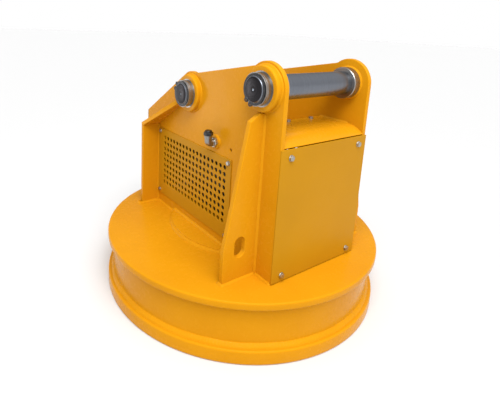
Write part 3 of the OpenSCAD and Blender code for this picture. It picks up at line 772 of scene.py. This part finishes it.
def pin_profile():
    """A pin's outline as (radius, height) from end to end: centre drilling, chamfer, circlip groove"""
    groove = clip_y - CLIP_T / 2
    groove_r = pin_r - 1.9 * MM
    half = [
        (0.2 * MM, pin_half - 9 * MM),
        (2.5 * MM, pin_half - 5 * MM),
        (6.0 * MM, pin_half - 0.6 * MM),
        (6.8 * MM, pin_half),
        (pin_r - 4.4 * MM, pin_half),
        (pin_r - 3.6 * MM, pin_half - 0.3 * MM),
        (pin_r - 0.3 * MM, pin_half - 3.6 * MM),
        (pin_r, pin_half - 4.4 * MM),
        (pin_r, groove + 1.7 * MM),
        (groove_r, groove + 1.6 * MM),
        (groove_r, groove - 1.6 * MM),
        (pin_r, groove - 1.7 * MM),
    ]
    return [(r, -h) for r, h in half] + [(r, h) for r, h in reversed(half)]


for node, at in (("front_pin", front_pin), ("rear_pin", rear_pin)):
    origin = Vector((at.x, 0, at.z))
    shape = turned(pin_profile(), origin, Y, 128)
    piece = add_piece(node + "_turned", [shape], node + "_body", "pin_steel", origin)
    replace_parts(piece, node)


# ---------- bolts ----------


def hexagon(flat):
    """Radius of a hexagon at an angle; flat is half its width across flats"""
    return lambda t: flat / math.cos(t % (TURN / 6) - TURN / 12)


def trimmed(flat, limit):
    """A hexagon cut round by a chamfer of radius limit"""
    shape = hexagon(flat)
    return lambda t: min(shape(t), limit)


def hex_head(flat, h, at, axis, base=0.0):
    """Hexagon with a chamfered top"""
    corner_r = flat / math.cos(TURN / 12)
    top_r = 0.95 * flat
    drop = (corner_r - top_r) * math.tan(math.radians(30))
    rows = [(hexagon(flat), base), (hexagon(flat), base + h - drop)]
    steps = 5
    for k in range(1, steps + 1):
        limit = corner_r + (top_r - corner_r) * k / steps
        rows.append((trimmed(flat, limit), base + h - drop + drop * k / steps))
    rows.append((0.2 * MM, base + h))
    return turned(rows, at, axis, 72)


def washer(r_out, t, at, axis):
    c = 0.3 * MM
    rows = [(r_out, 0.0), (r_out, t - c), (r_out - c, t), (0.3 * r_out, t)]
    return turned(rows, at, axis, 64)


def bolt(d, at, axis):
    """Washer and head of a bolt of diameter d"""
    return [
        washer(1.05 * d, 0.2 * d, at, axis),
        hex_head(0.95 * d * math.cos(TURN / 12), 0.65 * d, at, axis, 0.2 * d),
    ]


def solids(node):
    """Low and high corner of each separate solid in a CAD node, found from its joined vertices"""
    mesh = frame["nodes"][node].data
    spots = {}
    parent = list(range(len(mesh.vertices)))

    def find(i):
        while parent[i] != i:
            parent[i] = parent[parent[i]]
            i = parent[i]
        return i

    for v in mesh.vertices:
        key = tuple(round(c / (0.02 * MM)) for c in v.co)
        if key in spots:
            parent[find(v.index)] = find(spots[key])
        else:
            spots[key] = v.index
    for e in mesh.edges:
        parent[find(e.vertices[0])] = find(e.vertices[1])
    groups = {}
    for v in mesh.vertices:
        groups.setdefault(find(v.index), []).append(v.co)
    boxes = []
    for points in groups.values():
        lo = Vector((min(p.x for p in points), min(p.y for p in points), min(p.z for p in points)))
        hi = Vector((max(p.x for p in points), max(p.y for p in points), max(p.z for p in points)))
        boxes.append((lo, hi))
    return sorted(boxes, key=lambda b: tuple(b[0]))


def dress_bolts(node, d, face):
    """face gives, for a bolt's middle and its top, its bearing point and its direction"""
    parts = []
    for lo, hi in solids(node):
        parts += bolt(d, *face((lo + hi) / 2, hi.z))
    piece = add_piece(node + "_heads", parts, "magnet", "zinc", sharp=28)
    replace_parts(piece, node)


cover_front, cover_rear = high("front_cover").x, low("rear_cover").x
grille_y = -low("grille_near").y
LID_BOLT_H = 8.5 * MM


def on_covers(mid, top):
    front = mid.x > 0
    return Vector((cover_front if front else cover_rear, mid.y, mid.z)), X if front else -X


def on_grilles(mid, top):
    far = mid.y > 0
    return Vector((mid.x, grille_y if far else -grille_y, mid.z)), Y if far else -Y


def on_lid(mid, top):
    return Vector((mid.x, mid.y, top - LID_BOLT_H)), Z


dress_bolts("cover_bolts", 10.5 * MM, on_covers)
dress_bolts("grille_screws", 9 * MM, on_grilles)
dress_bolts("lid_bolts", 9.5 * MM, on_lid)


# ---------- hydraulic ports ----------


def port_fittings(side):
    """Hexagon adapter, forged elbow and blanking cap of one port; side is -1 near, 1 far"""
    out = Y * side
    at = Vector((port.x, 0, port.z))
    base = at + out * high("port_bosses").y
    start = at + out * high("port_adapters").y
    corner_at = at + out * elbow_y
    rise = port_end.z - port.z
    adapter = [
        hex_head(19 * MM, 10 * MM, base, out),
        turned([(15 * MM, 9 * MM), (15 * MM, 13 * MM), (14 * MM, 14 * MM), (8 * MM, 14 * MM)], base, out, 64),
    ]
    bend, wide, slim = 12 * MM, 15.5 * MM, 14 * MM
    turn_at = corner_at - out * bend + Z * bend
    rings = [(start, out, slim), (start + out * MM, out, wide)]
    steps = 8
    for k in range(steps + 1):
        a = math.pi / 2 * k / steps
        spot = turn_at + out * bend * math.sin(a) - Z * bend * math.cos(a)
        rings.append((spot, out * math.cos(a) + Z * math.sin(a), wide + (slim - wide) * k / steps))
    collar = 16 * MM
    for lift, radius in ((-11 * MM, slim), (-10 * MM, collar), (-MM, collar), (0, 15 * MM)):
        rings.append((corner_at + Z * (rise + lift), Z, radius))
    body = []
    for spot, along, radius in rings:
        over = along.cross(X)
        angles = [TURN * k / 48 for k in range(48)]
        body.append([spot + (X * math.cos(t) + over * math.sin(t)) * radius for t in angles])
    top = corner_at + Z * rise
    cap = [
        hex_head(16.4 * MM, 14 * MM, top, Z),
        turned([(14 * MM, 13 * MM), (14 * MM, 18 * MM), (12 * MM, 20 * MM), (0.3 * MM, 20 * MM)], top, Z, 64),
    ]
    return adapter, [loft(body)], cap


PORT_NODES = ("port_adapters", "port_elbows", "port_caps")
for node, near, far in zip(PORT_NODES, port_fittings(-1), port_fittings(1)):
    piece = add_piece(node + "_forged", near + far, "magnet", node_slot[node], sharp=28)
    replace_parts(piece, node)


# ---------- stage and light ----------


FLOOR_HALF = 40
FLOOR_GREY = 0.62
SKY_DIM = (0.03, 0.95)
SKY_SIDE = (0.5, -0.2, 0.8)
SKY_SPAN = (-0.8, 0.8)
WALL_TOP = (0.065, 0.14)


def add_floor():
    """Plain pale floor, just under the pole face"""
    mesh = bpy.data.meshes.new("floor")
    corners = [(FLOOR_HALF * a, FLOOR_HALF * b, 0) for a, b in ((-1, -1), (1, -1), (1, 1), (-1, 1))]
    mesh.from_pydata(corners, [], [(0, 1, 2, 3)])
    floor = bpy.data.objects.new("floor", mesh)
    floor.location.z = -0.5 * MM
    f = Finish("floor_pale", Roughness=0.9, Specular_IOR_Level=0.1)
    socket(f.shader, "Base Color", (FLOOR_GREY, FLOOR_GREY, FLOOR_GREY, 1))
    mesh.materials.append(f.material)
    bpy.context.scene.collection.objects.link(floor)


def add_sun(strength, spread, toward):
    data = bpy.data.lights.new("key", "SUN")
    data.energy = strength
    data.angle = math.radians(spread)
    sun = bpy.data.objects.new("key", data)
    sun.rotation_euler = Vector(toward).to_track_quat("Z", "Y").to_euler()
    bpy.context.scene.collection.objects.link(sun)


def add_light(name, at, aim, width, height, power):
    data = bpy.data.lights.new(name, "AREA")
    data.shape = "RECTANGLE"
    data.size = width
    data.size_y = height
    data.energy = power
    light = bpy.data.objects.new(name, data)
    light.location = at
    light.rotation_euler = (Vector(aim) - Vector(at)).to_track_quat("-Z", "Y").to_euler()
    bpy.context.scene.collection.objects.link(light)


def add_sky():
    """Dim studio ceiling, lighter towards the key, above a narrow bright wall that goes all round"""
    world = bpy.data.worlds.new("studio")
    world.use_nodes = True
    tree = world.node_tree
    ground = tree.nodes["Background"]
    socket(ground, "Color", (1, 1, 1, 1))
    place = tree.nodes.new("ShaderNodeTexCoord").outputs["Generated"]
    split = tree.nodes.new("ShaderNodeSeparateXYZ")
    link(tree, place, split.inputs["Vector"])
    toward = tree.nodes.new("ShaderNodeVectorMath")
    toward.operation = "DOT_PRODUCT"
    toward.inputs[1].default_value = SKY_SIDE
    link(tree, place, toward.inputs[0])
    ceiling = map_range(tree, toward.outputs["Value"], *SKY_SPAN, *SKY_DIM, smooth=True)
    strength = map_range(tree, split.outputs["Z"], *WALL_TOP, 1.0, ceiling, smooth=True)
    link(tree, strength, ground.inputs["Strength"])
    bpy.context.scene.world = world


add_floor()
add_sky()
add_sun(strength=2.9, spread=55, toward=(0.5, -0.2, 0.84))
add_light("window", at=(-1.87, -1.63, 0.6), aim=(0.1, -0.2, 0.8), width=0.25, height=0.9, power=4)
add_light("fill", at=(1.0, -0.8, 2.2), aim=(0.36, 0.15, 0.84), width=0.6, height=0.6, power=14)
bpy.context.scene.view_settings.view_transform = "Standard"
